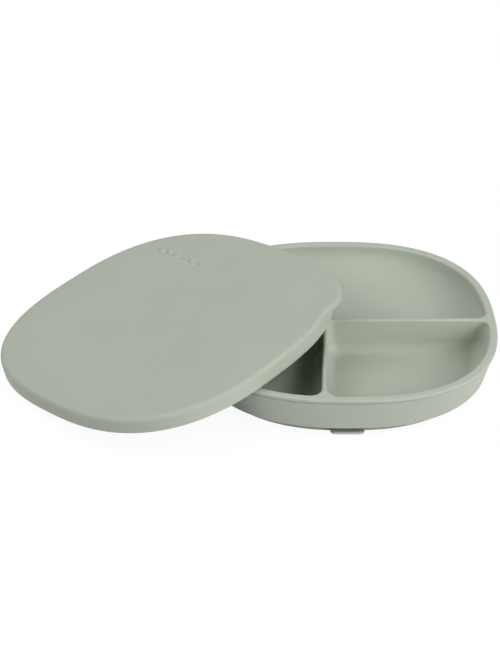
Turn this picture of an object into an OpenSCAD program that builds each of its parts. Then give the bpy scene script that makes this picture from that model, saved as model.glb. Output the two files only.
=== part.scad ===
// Divided suction bowl for a small child, with its lid lifted off and leaning on it.
// Origin: centre of the bowl's suction foot on the table. +Z up, +X right, +Y to the back.
// Every outline is a squircle: |x/h|^e + |y/h|^e = 1, with half width h and exponent e.

/* [Bowl] */
// Width and depth of the bowl over the top edge of its rim
bowl_w = 190; // [170:1:210]
// Squareness of the rim's outline (2 is a circle)
rim_exp = 2.53; // [2.3:0.01:3]
// Squareness of the outline at the foot
foot_exp = 2.34; // [2.2:0.01:3]
// Height of the rim above the table
rim_z = 28.9; // [26:0.1:34]
// Height of the bowl's underside above the table
under_z = 4; // [3.7:0.1:4]
// Height of the compartments' floor above the table
floor_z = 6.8; // [6.8:0.1:8]
// How far the wall's foot is set in from the rim's top edge
wall_taper = 3.8; // [3:0.1:7]
// Width of the bevel under the bowl's edge
bevel_w = 4.8; // [4:0.1:5]
// Height of the bevel under the bowl's edge
bevel_h = 2.3; // [1.8:0.1:2.3]
// Width of the rim's flat top, wall included
rim_t = 4.7; // [4:0.1:6]
// Radius of the sweep from the floor into the wall
sweep_r = 9; // [5:0.5:10]

/* [Rim lip] */
// Height of the lip that the lid grips
lip_h = 1.9; // [1.5:0.1:3]
// How far the lip stands out past the rim's top edge
lip_out = 0.6; // [0.4:0.1:0.9]
// Step from the lip in to the wall below it
lip_step = 0.9; // [0.5:0.1:1.5]

/* [Dividers] */
// Place of the long divider's centre line, front to back
long_y = -5.5; // [-20:0.5:10]
// Thickness of the long divider at its top
long_t = 3.2; // [2.4:0.1:4]
// Place of the cross divider's centre line where it meets the long divider
cross_x_back = -10.3; // [-25:0.1:5]
// Place of the cross divider's centre line at the front wall
cross_x_front = -14.6; // [-28:0.1:5]
// Thickness of the cross divider at its top
cross_t = 2.6; // [2:0.1:3.6]
// How much each divider's face leans out towards the floor
divider_draft = 0.8; // [0.4:0.1:1.5]

/* [Suction foot] */
// Half width of the suction lip where it seals on the table
seal_half = 84.3; // [80:0.1:86]
// Width of the ring that touches the table
seal_w = 5; // [4:0.1:8]
// Thickness of the sealing ring
seal_t = 1.4; // [1.2:0.1:1.6]
// Depth of the foot's fixed rib below the bowl
rib_h = 0.8; // [0.6:0.1:1]
// Width of the fixed rib
rib_w = 3; // [2:0.1:4]
// Thickness of the bending web between the rib and the sealing ring
web_t = 1; // [0.8:0.1:1.6]

/* [Release tab] */
// Width of the tab that breaks the seal
tab_w = 20; // [14:0.5:28]
// How far the tab reaches past the sealing ring
tab_reach = 6.2; // [5:0.1:6.3]
// Thickness of the tab
tab_t = 1.5; // [1.2:0.1:1.6]
// Height of the tab's underside above the table
tab_z = 0.3; // [0.2:0.1:0.4]
// Slope of the tab up to its free end, in degrees
tab_rise = 14; // [8:1:15]

/* [Lid] */
// How much wider the lid is than the bowl's rim, on each side
lid_over = 2.4; // [2:0.1:3.5]
// Squareness of the lid's outline
lid_exp = 2.58; // [2.3:0.01:3]
// Overall height of the lid
lid_h = 9.7; // [8:0.1:14]
// Thickness of the lid's top panel
panel_t = 2.4; // [2:0.1:3]
// Thickness of the lid's skirt
skirt_t = 1.4; // [1:0.1:1.5]
// Radius of the lid's top edge
lid_edge_r = 2.2; // [1:0.1:2.3]
// How far the bead inside the skirt stands in
bead_in = 0.5; // [0.3:0.1:0.7]
// Height of the bead inside the skirt
bead_h = 1.4; // [1:0.1:2]

/* [Lid pull tab] */
// How far the pull tab reaches past the lid's corner
pull_reach = 5.5; // [5:0.5:15]
// Width of the pull tab
pull_w = 34; // [24:1:44]
// Thickness of the pull tab
pull_t = 2.2; // [1.8:0.1:2.8]

/* [Lid at rest] */
// Place of the centre of the lid's top plane, left of the bowl's centre
lid_x = -110.5; // [-120:0.1:-110]
// Place of the centre of the lid's top plane, front to back
lid_y = -5.5; // [-8:0.1:0]
// Height of the centre of the lid's top plane
lid_z = 29.8; // [29.7:0.1:31]
// Lean towards the back, in degrees
lid_roll = 1; // [0.8:0.1:1.1]
// Lean up onto the bowl, in degrees
lid_pitch = 11.1; // [11:0.1:11.2]
// Turn of the pull tab away from straight to the right, in degrees
lid_turn = 0.1; // [-1:0.1:1]

/* [Hidden] */

sage = [0.60, 0.64, 0.57];
sage_light = [0.67, 0.70, 0.63];
sage_dark = [0.52, 0.56, 0.49];

sides = 96;
skin = 0.01;
gap = 0.3;

rim_half = bowl_w / 2;
lip_half = rim_half + lip_out;
lip_z = rim_z - lip_h;
wall_top_half = lip_half - lip_step;
wall_foot_half = rim_half - wall_taper;
cavity_top_half = rim_half - rim_t;
cavity_low_half = cavity_top_half - 1.6;
edge_r = 0.6;
lip_edge_r = 1;
under_edge_r = 0.4;
divider_top_r = 1.2;
rib_z = under_z - rib_h;
rib_half = seal_half - 3;
lid_half = rim_half + lid_over;
lid_corner = lid_half * pow(2, 0.5 - 1 / lid_exp);
pull_root = lid_corner + gap;

function signed_power(v, p) = sign(v) * pow(abs(v), p);
function squircle(half, exponent) = [for (i = [0 : sides - 1])
    let (a = 360 * i / sides)
    half * [signed_power(cos(a), 2 / exponent), signed_power(sin(a), 2 / exponent)]];
// A ring of the bowl: its outline goes from rounder at the foot to squarer at the rim
function bowl_ring(half, z) =
    [half, z, foot_exp + (rim_exp - foot_exp) * (z - under_z) / (rim_z - under_z)];

module squircle_ring(half, width, z0, z1, exponent) {
    translate([0, 0, z0]) linear_extrude(z1 - z0) difference() {
        polygon(squircle(half, exponent));
        polygon(squircle(half - width, exponent));
    }
}

// Points and side faces of a surface through a list of [half width, height, exponent] rings
function ring_points(rings) = [for (r = rings, p = squircle(r[0], r[2])) [p[0], p[1], r[1]]];
function side_faces(a, b) = [for (j = [0 : sides - 1])
    let (k = (j + 1) % sides)
    each [[a * sides + j, b * sides + j, b * sides + k], [a * sides + j, b * sides + k, a * sides + k]]];

// A solid stack of rings, from the bottom up
module stack(rings) {
    last = len(rings) - 1;
    polyhedron(ring_points(rings), concat(
        [for (i = [1 : last]) each side_faces(i - 1, i)],
        [[for (j = [0 : sides - 1]) j], [for (j = [sides - 1 : -1 : 0]) last * sides + j]]));
}

// A hollow band: up the outside through one list of rings and down the inside through another
module band(outside, inside) {
    rings = concat(outside, [for (i = [len(inside) - 1 : -1 : 0]) inside[i]]);
    polyhedron(ring_points(rings),
        [for (i = [0 : len(rings) - 1]) each side_faces(i, (i + 1) % len(rings))]);
}

// The hollow inside the bowl, from the floor's sweep up to the rim's rounded edge
cavity_rings = concat(
    [for (a = [0 : 15 : 90])
        bowl_ring(cavity_low_half - sweep_r * (1 - sin(a)), floor_z + sweep_r * (1 - cos(a)))],
    [for (a = [0 : 30 : 90])
        bowl_ring(cavity_top_half + edge_r * (1 - cos(a)), rim_z - edge_r * (1 - sin(a)))]);

module cavity() {
    stack(concat(cavity_rings, [bowl_ring(cavity_top_half + edge_r, rim_z + 1)]));
}

// A divider standing on the floor, with leaning faces and a crowned top, along +Y from the origin
module divider(length, thickness) {
    crown = [for (a = [0 : 11.25 : 90])
        [max(thickness / 2 * cos(a), skin), rim_z - divider_top_r * (1 - sin(a))]];
    levels = concat([[thickness / 2 + divider_draft, floor_z]], crown);
    for (i = [1 : len(levels) - 1]) hull() for (level = [levels[i - 1], levels[i]])
        translate([-level[0], 0, level[1] - skin]) cube([2 * level[0], length, skin]);
}

module long_divider_slab() {
    translate([bowl_w / 2, long_y, 0]) rotate([0, 0, 90]) divider(bowl_w, long_t);
}

// The bowl's outside: bevelled foot edge, tapered wall and the lip that the lid grips
foot_rings = concat(
    [bowl_ring(wall_foot_half - bevel_w, under_z)],
    [for (a = [0 : 30 : 90])
        bowl_ring(wall_foot_half - under_edge_r * (1 - sin(a)),
                  under_z + bevel_h + under_edge_r * (1 - cos(a)))]);
wall_rings = [
    bowl_ring(wall_foot_half, floor_z),
    bowl_ring(wall_top_half, lip_z - 0.3),
    bowl_ring(lip_half, lip_z),
    bowl_ring(lip_half, rim_z - lip_edge_r),
    bowl_ring(lip_half - 0.3 * lip_edge_r, rim_z - 0.3 * lip_edge_r),
    bowl_ring(lip_half - lip_edge_r, rim_z)
];

module bowl_floor() {
    color(sage) stack(concat(foot_rings, [bowl_ring(wall_foot_half, floor_z)]));
}

module bowl_wall() {
    color(sage) band(wall_rings, cavity_rings);
}

module divider_long() {
    color(sage_light) intersection() {
        long_divider_slab();
        cavity();
    }
}

// Runs from the long divider to the front wall, turned a little to the left
module divider_cross() {
    run = rim_half + long_y;
    turn = atan((cross_x_back - cross_x_front) / run);
    color(sage_light) difference() {
        intersection() {
            translate([cross_x_back, long_y, 0]) rotate([0, 0, 180 - turn]) divider(run + 5, cross_t);
            cavity();
        }
        long_divider_slab();
        translate([-bowl_w, long_y, 0]) cube([2 * bowl_w, bowl_w, 2 * rim_z]);
    }
}

// Fixed rib under the bowl that carries the suction lip
module suction_rib() {
    color(sage_dark) squircle_ring(rib_half, rib_w, rib_z, under_z, foot_exp);
}

// Thin web that bends when the bowl is pressed down
module suction_web() {
    color(sage_dark) squircle_ring(rib_half - 1, web_t, seal_t, rib_z, foot_exp);
}

// Ring that seals on the table
module suction_lip() {
    color(sage_dark) squircle_ring(seal_half, seal_w, 0, seal_t, foot_exp);
}

// A flat tongue along +X from the origin, square at its root and round at its free corners
module tongue(reach, width, thickness, corner_r) {
    linear_extrude(thickness) intersection() {
        translate([0, -width / 2]) square([reach, width]);
        hull() for (side = [-1, 1]) {
            translate([0, side * (width / 2 - corner_r)]) circle(corner_r, $fn = 48);
            translate([reach - corner_r, side * (width / 2 - corner_r)]) circle(corner_r, $fn = 48);
        }
    }
}

// Tongue at the front that is lifted to let air under the seal. It slopes up to its free end.
module release_tab() {
    color(sage) translate([0, -seal_half - gap - tab_t * sin(tab_rise), tab_z])
        rotate([0, 0, -90]) rotate([0, -tab_rise, 0]) tongue(tab_reach, tab_w, tab_t, 4);
}

// Puts children from the lid's own frame into its place at rest. The lid's frame has its
// origin at the centre of the top plane, with +X towards the pull tab.
module lid_place() {
    translate([lid_x, lid_y, lid_z])
        rotate([lid_roll, 0, 0]) rotate([0, -lid_pitch, 0]) rotate([0, 0, lid_turn]) children();
}

// The lid's flat top, rounded over its edge
module lid_panel() {
    color(sage_light) lid_place() rotate([0, 0, 45]) stack(concat(
        [[lid_half, -panel_t, lid_exp]],
        [for (a = [0 : 15 : 90])
            [lid_half - lid_edge_r * (1 - cos(a)), -lid_edge_r * (1 - sin(a)), lid_exp]]));
}

// The lid's skirt, with the bead inside its foot that grips under the bowl's lip
module lid_skirt() {
    color(sage_light) lid_place() rotate([0, 0, 45]) {
        squircle_ring(lid_half, skirt_t, bead_h - lid_h, -panel_t, lid_exp);
        squircle_ring(lid_half, skirt_t + bead_in, -lid_h, bead_h - lid_h, lid_exp);
    }
}

// Finger tab at the lid's corner, level with the top panel. Its root leans away from the lid,
// so that it can fold up and back.
module lid_pull_tab() {
    color(sage_light) lid_place() translate([pull_root, 0, -pull_t]) intersection() {
        tongue(pull_reach - gap, pull_w, pull_t, 5);
        rotate([90, 0, 0]) translate([0, 0, -pull_w]) linear_extrude(2 * pull_w)
            polygon([[0, -skin], [pull_reach, -skin], [pull_reach, pull_t + skin],
                     [pull_t + skin, pull_t + skin]]);
    }
}

bowl_floor();
bowl_wall();
divider_long();
divider_cross();
suction_rib();
suction_web();
suction_lip();
release_tab();
lid_panel();
lid_skirt();
lid_pull_tab();
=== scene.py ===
# A divided silicone suction bowl with its lid leaning on it. Shapes are worked out in
# millimetres in the model's own frame and turned into metres when each mesh is made.

import math

import bmesh
import bpy
import numpy as np
from mathutils import Matrix, Vector, geometry


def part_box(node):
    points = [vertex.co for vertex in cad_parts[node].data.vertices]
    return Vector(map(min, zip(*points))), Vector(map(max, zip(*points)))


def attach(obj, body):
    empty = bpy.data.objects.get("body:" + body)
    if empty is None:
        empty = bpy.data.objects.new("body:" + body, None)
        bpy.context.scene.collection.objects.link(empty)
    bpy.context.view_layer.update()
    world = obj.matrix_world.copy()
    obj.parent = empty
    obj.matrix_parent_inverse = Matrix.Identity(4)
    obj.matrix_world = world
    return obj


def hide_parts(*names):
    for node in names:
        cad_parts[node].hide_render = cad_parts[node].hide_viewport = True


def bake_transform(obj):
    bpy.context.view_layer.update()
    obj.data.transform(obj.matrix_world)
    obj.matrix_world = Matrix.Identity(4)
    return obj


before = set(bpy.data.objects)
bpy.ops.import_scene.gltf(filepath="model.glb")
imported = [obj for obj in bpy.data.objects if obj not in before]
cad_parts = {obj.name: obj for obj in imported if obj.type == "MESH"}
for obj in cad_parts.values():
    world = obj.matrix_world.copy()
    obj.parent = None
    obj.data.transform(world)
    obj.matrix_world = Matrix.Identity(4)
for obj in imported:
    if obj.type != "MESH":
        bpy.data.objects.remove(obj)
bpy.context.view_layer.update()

MM = 0.001
TURN = 2 * math.pi


def low_high(node):
    """The low and high corners of a CAD node's box, in mm."""
    low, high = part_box(node)
    return np.array(low) / MM, np.array(high) / MM


BODY_LOW, BODY_HIGH = low_high("bowl_wall")
SEAL_HIGH = low_high("suction_lip")[1]

# Bowl: heights and half widths as in the CAD model, then the thickness of the rim and the
# dividers, the rounding of their top edges and how far their faces lean in towards the floor
RIM_Z = BODY_HIGH[2]
UNDER_Z = low_high("bowl_floor")[0][2]
FLOOR_Z = BODY_LOW[2]
LIP_HALF = BODY_HIGH[0]
RIM_EXP, FOOT_EXP = 2.53, 2.34
RIM_T = 5.3
LIP_H, LIP_STEP, LIP_EDGE_R, LIP_UNDER_R = 1.9, 1.0, 0.8, 0.3
GROOVE_DEEP, GROOVE_H, GROOVE_EDGE = 0.5, 1.2, 0.2
WALL_FOOT_HALF, BEVEL_W, BEVEL_H, UNDER_EDGE_R = 91.2, 4.8, 2.4, 0.4
LONG_Y, LONG_T = -5.5, 3.2
CROSS_BACK, CROSS_FRONT, CROSS_T = -10.3, -14.6, 2.6
EDGE_Z, EDGE_WALL, EDGE_DIVIDER, EDGE_CORNER = 1.3, 1.5, 1.2, 1.2
WALL_DRAFT, DIVIDER_DRAFT = 1.6, 0.6
CORNER_GROW, FRONT_CORNER_FROM, FRONT_CORNER_RUN = 0.55, 20, 40
UNDER_DOME = 0.6

# Suction foot, with the release tab's width, thickness, height, reach and slope
SEAL_HALF = SEAL_HIGH[0]
RIB_Z, SKIRT_W = 3.2, 7.3
TAB_W, TAB_T, TAB_Z = 20.0, 1.5, 0.3
TAB_REACH, TAB_RISE = 6.2, math.tan(math.radians(14))
TAB_CORNER_R, TAB_ROOT_IN, TAB_GAP = 3.4, 2.0, 0.3

# Lid, in its own frame: origin at the centre of the top plane, +X towards the pull tab
LID_HALF, LID_EXP = 97.4, 2.58
LID_H, PANEL_T, SKIRT_T, LID_EDGE_R = 9.7, 2.4, 1.4, 2.7
BEAD_IN, BEAD_H = 0.5, 1.4
FOOT_EDGE_R, BEAD_EDGE_R, UNDER_FILLET_R = 0.5, 0.4, 1.2
PULL_REACH, PULL_W, PULL_T = 5.9, 37.0, 3.6
PULL_CORNER_R, PULL_FILLET_R, PULL_FROM, PULL_BLEND, PULL_TUCK = 12.5, 6.0, 60, 1.5, 0.15
MARK_OUT, MARK_START, MARK_STEP, MARK_DOTS, MARK_R = 81.5, -5.0, 5.4, 6, (3.2, 2.0)
LID_PLACE = (Matrix.Translation((-110.5, -5.5, 29.8))
             @ Matrix.Rotation(math.radians(1.0), 4, "X")
             @ Matrix.Rotation(math.radians(-11.1), 4, "Y")
             @ Matrix.Rotation(math.radians(0.1), 4, "Z"))

# Points round each outline
POCKET_POINTS = (560, 440, 420)
BOWL_POINTS, SKIRT_POINTS, TAB_POINTS, LID_POINTS = 640, 480, 96, 720
DOT_POINTS, SHADE_POINTS, FINE_POINTS = 48, 96, 6000


# ---------- outlines ----------

def even_angles(count):
    """Angles all the way round, evenly spread."""
    return np.linspace(0, TURN, count + 1)[:-1]


def squircle_level(x, y, half, exponent):
    """Below 0 inside a squircle, and about the distance to it in mm."""
    reach = (np.abs(x / half) ** exponent + np.abs(y / half) ** exponent) ** (1 / exponent)
    return (reach - 1) * half


def squircle_ring(angles, half, exponent, z, turn=0.0):
    """Points of a squircle at the given angles, turned about Z, all at height z."""
    c, s = np.cos(angles - turn), np.sin(angles - turn)
    reach = half * (np.abs(c) ** exponent + np.abs(s) ** exponent) ** (-1 / exponent)
    return np.stack([reach * np.cos(angles), reach * np.sin(angles), np.full_like(reach, z)], 1)


def round_meet(a, b, r):
    """Where two regions meet, with a corner of radius r inside it."""
    return np.minimum(-r, np.maximum(a, b)) + np.hypot(np.maximum(r + a, 0), np.maximum(r + b, 0))


def round_join(a, b, r):
    """Two regions joined, with a fillet of radius r between them."""
    return np.maximum(r, np.minimum(a, b)) - np.hypot(np.maximum(r - a, 0), np.maximum(r - b, 0))


def solve_ring(level, centre, angles, z, reach=130.0):
    """The outline where level is 0, along rays from centre."""
    c, s = np.cos(angles), np.sin(angles)
    near, far = np.zeros_like(angles), np.full_like(angles, reach)
    for _ in range(40):
        middle = (near + far) / 2
        inside = level(centre[0] + middle * c, centre[1] + middle * s) < 0
        near, far = np.where(inside, middle, near), np.where(inside, far, middle)
    return np.stack([centre[0] + near * c, centre[1] + near * s, np.full_like(near, z)], 1)


def spread_angles(level, centre, count, bend_share=0.5):
    """Ray angles set closer where the outline bends more."""
    fine = even_angles(FINE_POINTS)
    p = solve_ring(level, centre, fine, 0)[:, :2]
    step = np.roll(p, -1, 0) - p
    length = np.hypot(step[:, 0], step[:, 1])
    heading = np.unwrap(np.arctan2(step[:, 1], step[:, 0]))
    bend = np.abs(np.diff(heading, append=heading[0] + TURN))
    wrap = 40
    wrapped = np.concatenate([bend[-wrap:], bend, bend[:wrap]])
    bend = np.convolve(wrapped, np.ones(wrap + 1) / (wrap + 1), "same")[wrap:-wrap]
    weight = (1 - bend_share) * length / length.sum() + bend_share * bend / bend.sum()
    total = np.concatenate([[0], np.cumsum(weight)])
    return np.interp(np.arange(count) / count, total, np.append(fine, TURN))


def arc(steps, start=0):
    """Angles from 0 to 90 degrees, as (sine, cosine) pairs."""
    return [(math.sin(a), math.cos(a)) for a in np.linspace(0, math.pi / 2, steps + 1)[start:]]


# ---------- meshes ----------

class MeshParts:
    """Gathers rings of points into one closed mesh."""

    def __init__(self):
        self.points, self.faces, self.count = [], [], 0

    def add(self, points):
        first = self.count
        self.points.append(np.asarray(points, float))
        self.count += len(points)
        return first

    def rings(self, rings, flip=False):
        """Quads between rings that each run the same way round."""
        firsts = [self.add(r) for r in rings]
        n = len(rings[0])
        for a, b in zip(firsts, firsts[1:]):
            for i in range(n):
                j = (i + 1) % n
                face = (a + i, a + j, b + j, b + i)
                self.faces.append(face[::-1] if flip else face)
        return firsts

    def cap(self, ring_first, n, point, flip=False):
        """A fan from a ring to one point."""
        middle = self.add([point])
        for i in range(n):
            face = (ring_first + i, ring_first + (i + 1) % n, middle)
            self.faces.append(face[::-1] if flip else face)

    def build(self, name, place=None, weld=0.002):
        """The object, in metres, smooth and welded, with its normals outwards."""
        mesh = bpy.data.meshes.new(name)
        mesh.from_pydata(np.concatenate(self.points).tolist(), [], self.faces)
        if place is not None:
            mesh.transform(place)
        bm = bmesh.new()
        bm.from_mesh(mesh)
        bmesh.ops.remove_doubles(bm, verts=bm.verts, dist=weld)
        bmesh.ops.recalc_face_normals(bm, faces=bm.faces)
        bmesh.ops.scale(bm, vec=(MM, MM, MM), verts=bm.verts)
        for face in bm.faces:
            face.smooth = True
        bm.to_mesh(mesh)
        bm.free()
        obj = bpy.data.objects.new(name, mesh)
        bpy.context.scene.collection.objects.link(obj)
        return obj


def scaled_rings(ring, centre, shares, z_of=lambda share: 0.0):
    """Smaller copies of a ring towards a centre, lifted by z_of."""
    middle = np.array([centre[0], centre[1], ring[0, 2]])
    return [middle + (ring - middle) * share + np.array([0, 0, z_of(share)]) for share in shares]


# ---------- bowl ----------

def exponent_at(z):
    """How square the bowl is at height z: a little more at the rim than at its foot."""
    return FOOT_EXP + (RIM_EXP - FOOT_EXP) * (z - UNDER_Z) / (RIM_Z - UNDER_Z)


def cross_x(y):
    """The middle of the cross divider, which runs slightly askew to the front."""
    share = (y - LONG_Y) / (-LIP_HALF - LONG_Y)
    return CROSS_BACK + (CROSS_FRONT - CROSS_BACK) * share


def sweep_in(z, sweep):
    """How far an elliptical sweep, given as (width, height), has come in at height z."""
    down = min(max((FLOOR_Z + sweep[1] - z) / sweep[1], 0.0), 1.0)
    return sweep[0] * (1 - math.sqrt(1 - down * down))


class Pocket:
    """One compartment: which divider faces bound it, and how its sides sweep into its floor."""

    def __init__(self, centre, back, side, corner_r, sweep_wall, sweep_divider):
        self.centre = centre
        self.back = back
        self.side = side
        self.corner_r = corner_r
        self.sweep_wall = sweep_wall
        self.sweep_divider = sweep_divider

    def level(self, wall_in, divider_in, corner_grow, exponent):
        """Outline function for sides moved in by wall_in and divider_in."""
        def f(x, y):
            wall = squircle_level(x, y, LIP_HALF - RIM_T, exponent) + wall_in
            if self.back:
                face = (LONG_Y + LONG_T / 2) - y + divider_in
                return round_meet(wall, face, self.corner_r[0] + corner_grow)
            face = y - (LONG_Y - LONG_T / 2) + divider_in
            cross = -self.side * (x - cross_x(y)) + CROSS_T / 2 + divider_in
            inner = round_meet(face, cross, self.corner_r[1] + corner_grow)
            near_front = np.clip((-y - FRONT_CORNER_FROM) / FRONT_CORNER_RUN, 0, 1)
            r = self.corner_r[0] + (self.corner_r[2] - self.corner_r[0]) * near_front
            return round_meet(wall, inner, r + corner_grow)
        return f

    def profile(self):
        """(height, wall_in, divider_in, corner_grow) from the rim's flat top to the floor."""
        rows = []
        for s, c in arc(7):
            rows.append((RIM_Z - EDGE_Z * (1 - c), -EDGE_WALL * (1 - s), -EDGE_DIVIDER * (1 - s),
                         EDGE_CORNER * (1 - s)))
        top = RIM_Z - EDGE_Z
        high = max(self.sweep_wall[1], self.sweep_divider[1])
        levels = [top + (FLOOR_Z + high - top) * share for share in (0.2, 0.45, 0.7, 1.0)]
        levels += [FLOOR_Z + high * (1 - s) for s, _ in arc(20, 1)]
        for z in levels:
            share = (top - z) / (top - FLOOR_Z)
            rows.append((z, WALL_DRAFT * share + sweep_in(z, self.sweep_wall),
                         DIVIDER_DRAFT * share + sweep_in(z, self.sweep_divider),
                         share + CORNER_GROW * sweep_in(z, self.sweep_divider)))
        return rows

    def add_to(self, parts, count):
        """Puts the compartment's surface into parts and returns its outline on the rim's top."""
        top = self.level(0, 0, 0, RIM_EXP)
        angles = spread_angles(top, self.centre, count)
        rings = [solve_ring(self.level(w, d, g, exponent_at(z)), self.centre, angles, z)
                 for z, w, d, g in self.profile()]
        rings += scaled_rings(rings[-1], self.centre, (0.85, 0.65, 0.4, 0.15))
        firsts = parts.rings(rings)
        middle = (self.centre[0], self.centre[1], rings[-1][0, 2])
        parts.cap(firsts[-1], count, middle)
        return rings[0]


POCKETS = (
    Pocket((0, 38), True, 0, (7.0, 0, 7.0), (28.0, 17.5), (9.0, 9.0)),
    Pocket((38, -42), False, 1, (5.5, 5.0, 9.0), (10.0, 10.0), (6.0, 7.0)),
    Pocket((-48, -40), False, -1, (5.5, 5.0, 8.0), (10.0, 10.0), (6.0, 7.0)),
)


def inside_outline(points, outline):
    """Which points lie inside a closed outline, by counting crossings."""
    x, y = points[:, 0:1], points[:, 1:2]
    x1, y1 = outline[:, 0], outline[:, 1]
    x2, y2 = np.roll(x1, -1), np.roll(y1, -1)
    spans = (y1 > y) != (y2 > y)
    with np.errstate(divide="ignore", invalid="ignore"):
        crossing = x < x1 + (y - y1) * (x2 - x1) / (y2 - y1)
    return (spans & crossing).sum(1) % 2 == 1


def flat_top(parts, outer, openings):
    """The flat of the rim and the dividers, between the outer edge and the openings."""
    loops = [outer, *openings]
    points = [Vector(p[:2]) for loop in loops for p in loop]
    edges, first = [], 0
    for loop in loops:
        n = len(loop)
        edges += [(first + i, first + (i + 1) % n) for i in range(n)]
        first += n
    made, _, faces, *_ = geometry.delaunay_2d_cdt(points, edges, [], 1, 1e-7)
    made = np.array([tuple(p) for p in made])
    faces = [f for f in faces if len(f) == 3]
    middles = np.array([made[list(f)].mean(0) for f in faces])
    keep = inside_outline(middles, outer)
    for opening in openings:
        keep &= ~inside_outline(middles, opening)
    base = parts.add(np.column_stack([made, np.full(len(made), RIM_Z)]))
    parts.faces += [tuple(base + i for i in f) for f, k in zip(faces, keep) if k]


def bowl_outside():
    """(half width, height) from the rim's flat top down and in under the bowl."""
    lip_z = RIM_Z - LIP_H
    wall_top = LIP_HALF - LIP_STEP
    rows = [(LIP_HALF - LIP_EDGE_R * (1 - s), RIM_Z - LIP_EDGE_R * (1 - c)) for s, c in arc(6)]
    rows += [(LIP_HALF, lip_z + LIP_UNDER_R + 0.05)]
    rows += [(LIP_HALF - LIP_UNDER_R * (1 - c), lip_z + LIP_UNDER_R * (1 - s)) for s, c in arc(3)]
    rows += [(wall_top - GROOVE_DEEP, lip_z), (wall_top - GROOVE_DEEP, lip_z - 0.5 * GROOVE_H)]
    rows += [(wall_top - GROOVE_DEEP * c, lip_z - GROOVE_H * (0.5 + 0.5 * s)) for s, c in arc(4, 1)]
    bevel_turn = math.pi / 2 - math.atan2(BEVEL_H, BEVEL_W)
    foot_z = UNDER_Z + BEVEL_H + UNDER_EDGE_R * math.sin(bevel_turn)
    wall_z = lip_z - GROOVE_H - GROOVE_EDGE
    rows += [(wall_top + (WALL_FOOT_HALF - wall_top) * share, wall_z + (foot_z - wall_z) * share)
             for share in (0.05, 0.2, 0.4, 0.6, 0.8, 0.95)]
    rows += [(WALL_FOOT_HALF - UNDER_EDGE_R * (1 - math.cos(a)), foot_z - UNDER_EDGE_R * math.sin(a))
             for a in np.linspace(0, bevel_turn, 7)]
    bevel_end = WALL_FOOT_HALF - BEVEL_W
    edge = rows[-1]
    rows += [(edge[0] + (bevel_end - edge[0]) * share, edge[1] + (UNDER_Z - edge[1]) * share)
             for share in (0.3, 0.65, 1)]
    rows += [(SEAL_HALF - inset, UNDER_Z) for inset in (0.3, 4.3, SKIRT_W)]
    return rows


def make_bowl():
    parts = MeshParts()
    openings = [p.add_to(parts, n) for p, n in zip(POCKETS, POCKET_POINTS)]
    count = BOWL_POINTS
    angles = spread_angles(lambda x, y: squircle_level(x, y, LIP_HALF, RIM_EXP), (0, 0), count, 0.3)
    rings = [squircle_ring(angles, half, exponent_at(z), z) for half, z in bowl_outside()]
    flat_top(parts, rings[0], openings)
    rings += scaled_rings(rings[-1], (0, 0), (0.85, 0.6, 0.3, 0.1),
                          lambda share: UNDER_DOME * (1 - share * share))
    firsts = parts.rings(rings, flip=True)
    parts.cap(firsts[-1], count, (0, 0, UNDER_Z + UNDER_DOME), flip=True)
    return parts.build("bowl")


# ---------- suction foot ----------

def make_skirt():
    """The soft skirt under the bowl: a rib, a bending web and the ring that seals."""
    # (distance in from the ring's outer edge, height): down the outside and up the inside
    section = [
        (1.7, UNDER_Z + 0.15), (2.5, UNDER_Z - 0.1), (2.9, UNDER_Z - 0.4), (3.1, RIB_Z),
        (3.0, 2.4), (2.5, 1.8), (1.5, 1.3), (0.5, 0.9), (0.1, 0.6), (0.0, 0.3), (0.1, 0.08),
        (0.4, 0.0), (2.3, 0.0), (3.7, 0.0), (4.5, 0.1), (4.9, 0.5), (5.1, 1.2), (5.2, 2.2),
        (5.5, RIB_Z), (5.9, UNDER_Z - 0.4), (6.4, UNDER_Z - 0.1), (SKIRT_W, UNDER_Z + 0.15),
    ]
    count = SKIRT_POINTS
    angles = spread_angles(lambda x, y: squircle_level(x, y, SEAL_HALF, FOOT_EXP), (0, 0), count, 0.3)
    rings = [squircle_ring(angles, SEAL_HALF - inset, FOOT_EXP, z) for inset, z in section]
    parts = MeshParts()
    parts.rings(rings + rings[:1])
    return parts.build("suction_skirt")


def make_release_tab():
    """The tongue at the front of the skirt, with its thin rounded edge."""
    root_y = -SEAL_HALF + TAB_ROOT_IN
    tip_y = -SEAL_HALF - TAB_REACH - TAB_GAP
    centre = (0, (root_y + tip_y) / 2)
    half = (TAB_W / 2, (root_y - tip_y) / 2)

    def level(inset):
        def f(x, y):
            across = np.abs(x) - half[0] + inset
            along = np.abs(y - centre[1]) - half[1] + inset
            return round_meet(across, along, TAB_CORNER_R - inset)
        return f

    count = TAB_POINTS
    angles = spread_angles(level(0), centre, count)
    edge = TAB_T / 2
    rows = [(edge * (1 - s), TAB_Z + TAB_T - edge * (1 - c)) for s, c in arc(5)]
    rows += [(edge * (1 - c), TAB_Z + edge * (1 - s)) for s, c in arc(5, 1)]
    rings = [solve_ring(level(inset), centre, angles, z) for inset, z in rows]
    top = scaled_rings(rings[0], centre, (0.3, 0.6, 0.85))
    under = scaled_rings(rings[-1], centre, (0.85, 0.6, 0.3))
    parts = MeshParts()
    firsts = parts.rings(top + rings + under)
    parts.cap(firsts[0], count, (*centre, TAB_Z + TAB_T), flip=True)
    parts.cap(firsts[-1], count, (*centre, TAB_Z))
    tongue = parts.build("release_tongue")
    for vertex in tongue.data.vertices:
        vertex.co.z += max(-(SEAL_HALF + TAB_GAP) * MM - vertex.co.y, 0) * TAB_RISE
    return tongue


# ---------- lid ----------

LID_CORNER = LID_HALF * 2 ** (0.5 - 1 / LID_EXP)


def turned_squircle(x, y, inset):
    """The lid's outline function, with its corners on the X and Y axes."""
    k = math.sqrt(0.5)
    return squircle_level((x + y) * k, (x - y) * k, LID_HALF, LID_EXP) + inset


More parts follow.
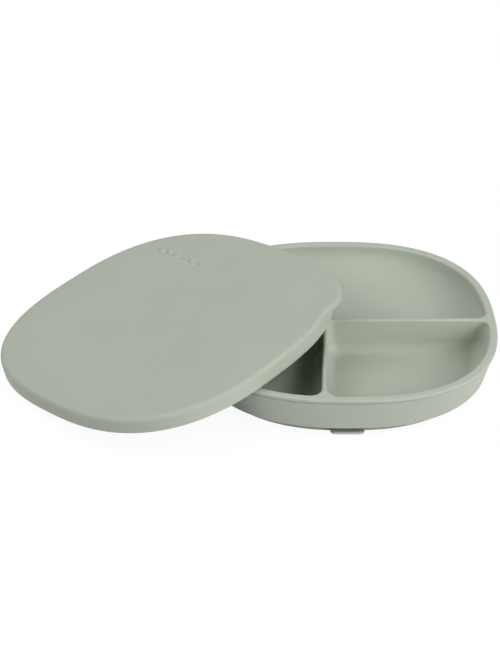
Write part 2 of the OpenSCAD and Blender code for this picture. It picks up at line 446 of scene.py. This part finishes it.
def lid_outline(inset):
    """The top's outline with the pull tab blended in."""
    def f(x, y):
        across = np.abs(y) - PULL_W / 2 + inset
        along = x - (LID_CORNER + PULL_REACH) + inset
        tab = round_meet(across, along, PULL_CORNER_R - inset)
        tab = np.maximum(tab, PULL_FROM - x)
        return round_join(turned_squircle(x, y, inset), tab, PULL_FILLET_R + inset)
    return f


def make_lid():
    count = LID_POINTS
    centre = (0.0, 0.0)
    angles = spread_angles(lid_outline(0), centre, count, 0.4)
    edge = LID_EDGE_R
    outline = solve_ring(lid_outline(0), centre, angles, 0)
    wall = squircle_ring(angles, LID_HALF, LID_EXP, 0, TURN / 8)
    stand_out = np.hypot(*outline[:, :2].T) - np.hypot(*wall[:, :2].T)
    is_tab = np.clip(stand_out / PULL_BLEND, 0, 1)[:, None]

    def at(ring, z):
        return np.column_stack([ring[:, :2], np.full(len(ring), z)])

    def squircle_at(inset, z):
        return squircle_ring(angles, LID_HALF - inset, LID_EXP, z, TURN / 8)

    rings = [solve_ring(lid_outline(edge * (1 - s)), centre, angles, -edge * (1 - c)) for s, c in arc(9)]
    top = scaled_rings(rings[0], centre, (0.06, 0.2, 0.4, 0.6, 0.8, 0.93, 0.985))
    rings = top + rings
    under_r = PULL_T - edge
    full = rings[-1]
    for s, c in arc(4, 1):
        tucked = solve_ring(lid_outline(under_r * (1 - c)), centre, angles, 0)
        rings.append(at(full + (tucked - full) * is_tab, -edge - under_r * s))
    tucked = rings[-1]
    for share in (0.3, 0.6, 0.85):
        rings.append(at(tucked + (wall - tucked) * share, -PULL_T - PULL_TUCK * share))
    for drop in (0.5, 1.2, 2.6, 4.4):
        rings.append(at(wall, -PULL_T - PULL_TUCK - drop))
    rings += [squircle_at(FOOT_EDGE_R * (1 - c), -LID_H + FOOT_EDGE_R * (1 - s)) for s, c in arc(4)]
    bead = SKIRT_T + BEAD_IN
    rings += [squircle_at(bead - BEAD_EDGE_R * (1 - s), -LID_H + BEAD_EDGE_R * (1 - c))
              for s, c in arc(4)]
    rings += [squircle_at(bead - BEAD_IN * share, -LID_H + BEAD_H - BEAD_IN * (1 - share))
              for share in (0, 0.5, 1)]
    rings += [squircle_at(SKIRT_T + UNDER_FILLET_R * (1 - c), -PANEL_T - UNDER_FILLET_R * (1 - s))
              for s, c in arc(6)]
    rings += scaled_rings(rings[-1], centre, (0.97, 0.8, 0.55, 0.3, 0.08))
    parts = MeshParts()
    firsts = parts.rings(rings, flip=True)
    parts.cap(firsts[0], count, (0, 0, 0))
    parts.cap(firsts[-1], count, (0, 0, -PANEL_T), flip=True)
    for i in range(MARK_DOTS):
        add_raised_dot(parts, MARK_START + MARK_STEP * i, MARK_R[i % 2])
    return parts.build("lid", LID_PLACE)


def add_raised_dot(parts, along, dot_r, height=0.7):
    """A low round dot moulded on the lid's top, part of a plain generic mark."""
    angles = even_angles(DOT_POINTS)
    centre = (along, MARK_OUT - along)
    rings = []
    for a in np.linspace(-TURN / 4, TURN / 4, 11)[1:-1]:
        r = dot_r * math.cos(a)
        rings.append(np.column_stack([centre[0] + r * np.cos(angles), centre[1] + r * np.sin(angles),
                                      np.full_like(angles, height * math.sin(a))]))
    firsts = parts.rings(rings)
    parts.cap(firsts[0], len(angles), (*centre, -height), flip=True)
    parts.cap(firsts[-1], len(angles), (*centre, height))


# ---------- materials ----------

SAGE = np.array([0.455, 0.50, 0.42])
SAGE_DRIFT = 0.03


def silicone(name):
    """Matte moulded silicone: powdery surface, very fine grain and a slow drift of shade."""
    material = bpy.data.materials.new(name)
    material.use_nodes = True
    nodes, links = material.node_tree.nodes, material.node_tree.links
    shader = nodes["Principled BSDF"]
    place = nodes.new("ShaderNodeTexCoord")

    drift = nodes.new("ShaderNodeTexNoise")
    drift.inputs["Scale"].default_value = 14
    drift.inputs["Detail"].default_value = 3
    links.new(place.outputs["Object"], drift.inputs["Vector"])
    shade = nodes.new("ShaderNodeValToRGB")
    low, high = shade.color_ramp.elements
    low.position, low.color = 0.3, (*SAGE * (1 - SAGE_DRIFT), 1)
    high.position, high.color = 0.7, (*SAGE * (1 + SAGE_DRIFT), 1)
    links.new(drift.outputs["Fac"], shade.inputs["Fac"])
    links.new(shade.outputs["Color"], shader.inputs["Base Color"])

    grain = nodes.new("ShaderNodeTexNoise")
    grain.inputs["Scale"].default_value = 2600
    grain.inputs["Detail"].default_value = 2
    links.new(place.outputs["Object"], grain.inputs["Vector"])
    bump = nodes.new("ShaderNodeBump")
    bump.inputs["Strength"].default_value = 0.12
    bump.inputs["Distance"].default_value = 0.0001
    links.new(grain.outputs["Fac"], bump.inputs["Height"])
    links.new(bump.outputs["Normal"], shader.inputs["Normal"])

    rough = nodes.new("ShaderNodeMapRange")
    rough.inputs["To Min"].default_value = 0.52
    rough.inputs["To Max"].default_value = 0.62
    links.new(drift.outputs["Fac"], rough.inputs["Value"])
    links.new(rough.outputs["Result"], shader.inputs["Roughness"])
    shader.inputs["Specular IOR Level"].default_value = 0.3
    shader.inputs["Sheen Weight"].default_value = 0.08
    shader.inputs["Sheen Roughness"].default_value = 0.5
    shader.inputs["Subsurface Weight"].default_value = 0.12
    shader.inputs["Subsurface Radius"].default_value = (1.0, 1.0, 0.8)
    shader.inputs["Subsurface Scale"].default_value = 0.0015
    return material


# ---------- studio ----------

# Heights in metres of the layers under the object, and their glow
FLOOR_AT, SHADE_AT, BOUNCE_AT = -0.0002, -0.0003, -0.0004
FLOOR_GLOW, BOUNCE_GLOW = 0.93, 0.5
LID_SHADE_IN = 6


def glowing_plane(name, height, glow):
    """A plain white plane under the object, lit by itself so that it stays even."""
    bpy.ops.mesh.primitive_plane_add(size=8, location=(0, 0, height))
    plane = bpy.context.object
    plane.name = name
    material = bpy.data.materials.new(name)
    material.use_nodes = True
    shader = material.node_tree.nodes["Principled BSDF"]
    shader.inputs["Base Color"].default_value = (0.1, 0.1, 0.1, 1)
    shader.inputs["Roughness"].default_value = 1
    shader.inputs["Specular IOR Level"].default_value = 0
    shader.inputs["Emission Color"].default_value = (1, 1, 1, 1)
    shader.inputs["Emission Strength"].default_value = glow
    plane.data.materials.append(material)
    return plane


def shade_card(name, outline):
    """A dark card just under the floor, where the object keeps light off the table."""
    mesh = bpy.data.meshes.new(name)
    points = [(x * MM, y * MM, SHADE_AT) for x, y, _ in outline]
    mesh.from_pydata(points, [], [tuple(range(len(points)))])
    card = bpy.data.objects.new(name, mesh)
    bpy.context.scene.collection.objects.link(card)
    material = bpy.data.materials.new(name)
    material.use_nodes = True
    material.node_tree.nodes["Principled BSDF"].inputs["Base Color"].default_value = (0, 0, 0, 1)
    mesh.materials.append(material)
    card.visible_camera = False


def make_floor():
    """A white floor, and a glowing one below it that lights the object from underneath."""
    floor = glowing_plane("floor", FLOOR_AT, FLOOR_GLOW)
    floor.visible_diffuse = False
    bounce = glowing_plane("floor_bounce", BOUNCE_AT, BOUNCE_GLOW)
    bounce.visible_camera = False
    angles = even_angles(SHADE_POINTS)
    shade_card("shade_bowl", squircle_ring(angles, WALL_FOOT_HALF, FOOT_EXP, 0))
    under_lid = squircle_ring(angles, LID_HALF - LID_SHADE_IN, LID_EXP, -LID_H, TURN / 8)
    shade_card("shade_lid", [LID_PLACE @ Vector(p) for p in under_lid])


def area_light(name, place, size, power):
    """A square soft light aimed at the middle of the bowl."""
    light = bpy.data.lights.new(name, "AREA")
    light.shape = "SQUARE"
    light.size = size
    light.energy = power
    lamp = bpy.data.objects.new(name, light)
    lamp.location = place
    aim = Vector((0, 0, 0.02)) - lamp.location
    lamp.rotation_euler = aim.to_track_quat("-Z", "Y").to_euler()
    bpy.context.scene.collection.objects.link(lamp)


def make_camera():
    """A long lens looking down at the object from the front."""
    lens, distance, tilt = 80.664, 0.971, math.radians(31.95)
    aim_x, aim_y = -0.05702, 0.0225
    camera = bpy.data.cameras.new("camera")
    camera.sensor_width = 36
    camera.lens = lens
    camera.clip_start, camera.clip_end = 0.05, 20
    rig = bpy.data.objects.new("camera", camera)
    rig.location = (aim_x, aim_y - distance * math.cos(tilt), distance * math.sin(tilt))
    rig.rotation_euler = (math.pi / 2 - tilt, 0, 0)
    bpy.context.scene.collection.objects.link(rig)
    bpy.context.scene.camera = rig


# Name, place, size in metres and power in watts
LIGHTS = (
    ("key_front", (0.9, -1.1, 0.5), 0.7, 10.6),
    ("key_right", (0.9, -0.35, 0.9), 0.7, 6.5),
    ("back", (0, 0.9, 0.9), 0.8, 3.3),
    ("left", (-1.1, 0, 0.8), 0.8, 4.7),
    ("overhead", (-0.5, 0.2, 1.3), 0.6, 3.6),
    ("fill_left", (-0.8, -0.9, 0.8), 0.7, 3.0),
    ("fill_front", (0.7, -0.9, 0.9), 0.7, 1.6),
)


def make_light():
    """Soft lights, and a white world that is only seen behind the floor."""
    world = bpy.data.worlds.new("studio")
    bpy.context.scene.world = world
    world.use_nodes = True
    background = world.node_tree.nodes["Background"]
    background.inputs["Color"].default_value = (1, 1, 1, 1)
    background.inputs["Strength"].default_value = 1.0
    world.cycles_visibility.diffuse = False
    world.cycles_visibility.glossy = False
    for light in LIGHTS:
        area_light(*light)
    view = bpy.context.scene.view_settings
    view.view_transform = "Standard"
    view.look = "None"


make_camera()
make_light()
make_floor()

matte = silicone("sage_silicone")
bowl = make_bowl()
skirt = make_skirt()
tongue = make_release_tab()
lid = make_lid()
for piece in (bowl, skirt, tongue, lid):
    piece.data.materials.append(matte)

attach(bowl, "bowl")
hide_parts("bowl_floor", "bowl_wall", "divider_long", "divider_cross")

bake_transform(skirt)
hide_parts("suction_rib", "suction_web", "suction_lip")

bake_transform(tongue)
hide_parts("release_tab")

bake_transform(lid)
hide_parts("lid_panel", "lid_skirt", "lid_pull_tab")
